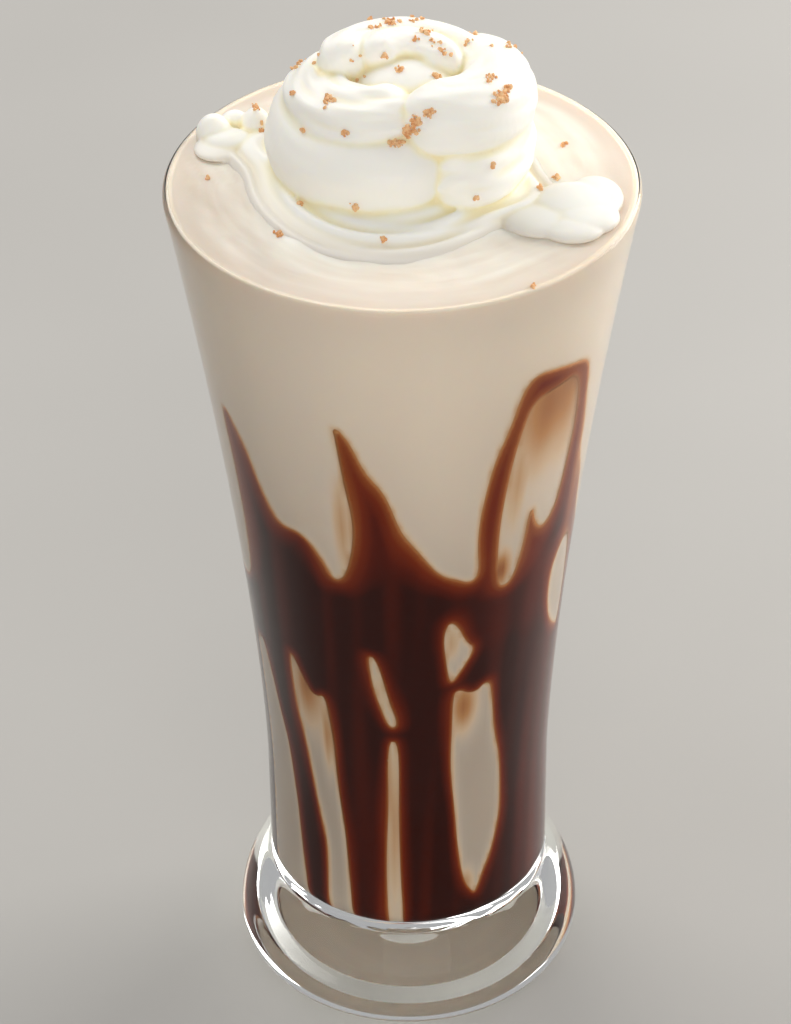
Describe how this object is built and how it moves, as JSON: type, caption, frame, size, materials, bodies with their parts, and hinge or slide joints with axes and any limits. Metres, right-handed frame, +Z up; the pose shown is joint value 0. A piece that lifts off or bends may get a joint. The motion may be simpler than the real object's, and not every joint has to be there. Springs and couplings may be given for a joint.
{
  "type": "chocolate banana smoothie in a footed glass",
  "caption": "Tall footed glass filled to the rim with a pale smoothie, chocolate syrup run down its inner wall, topped with whipped cream and crumbs.",
  "frame": {"origin": "centre of the glass's standing ring, on the surface that it stands on", "axes": "+Z up along the glass's axis, -Y towards the front, the side that the upper cream folds curl to"},
  "size_m": [0.0816, 0.0816, 0.1942],
  "materials": {
    "clear_glass": "polished",
    "smoothie_drink": "satin",
    "chocolate": "gloss",
    "cream": "satin"
  },
  "bodies": {
    "root": {"glass": "clear_glass", "smoothie": "smoothie_drink", "chocolate_syrup": "chocolate", "whipped_cream": "cream"}
  },
  "joints": []
}
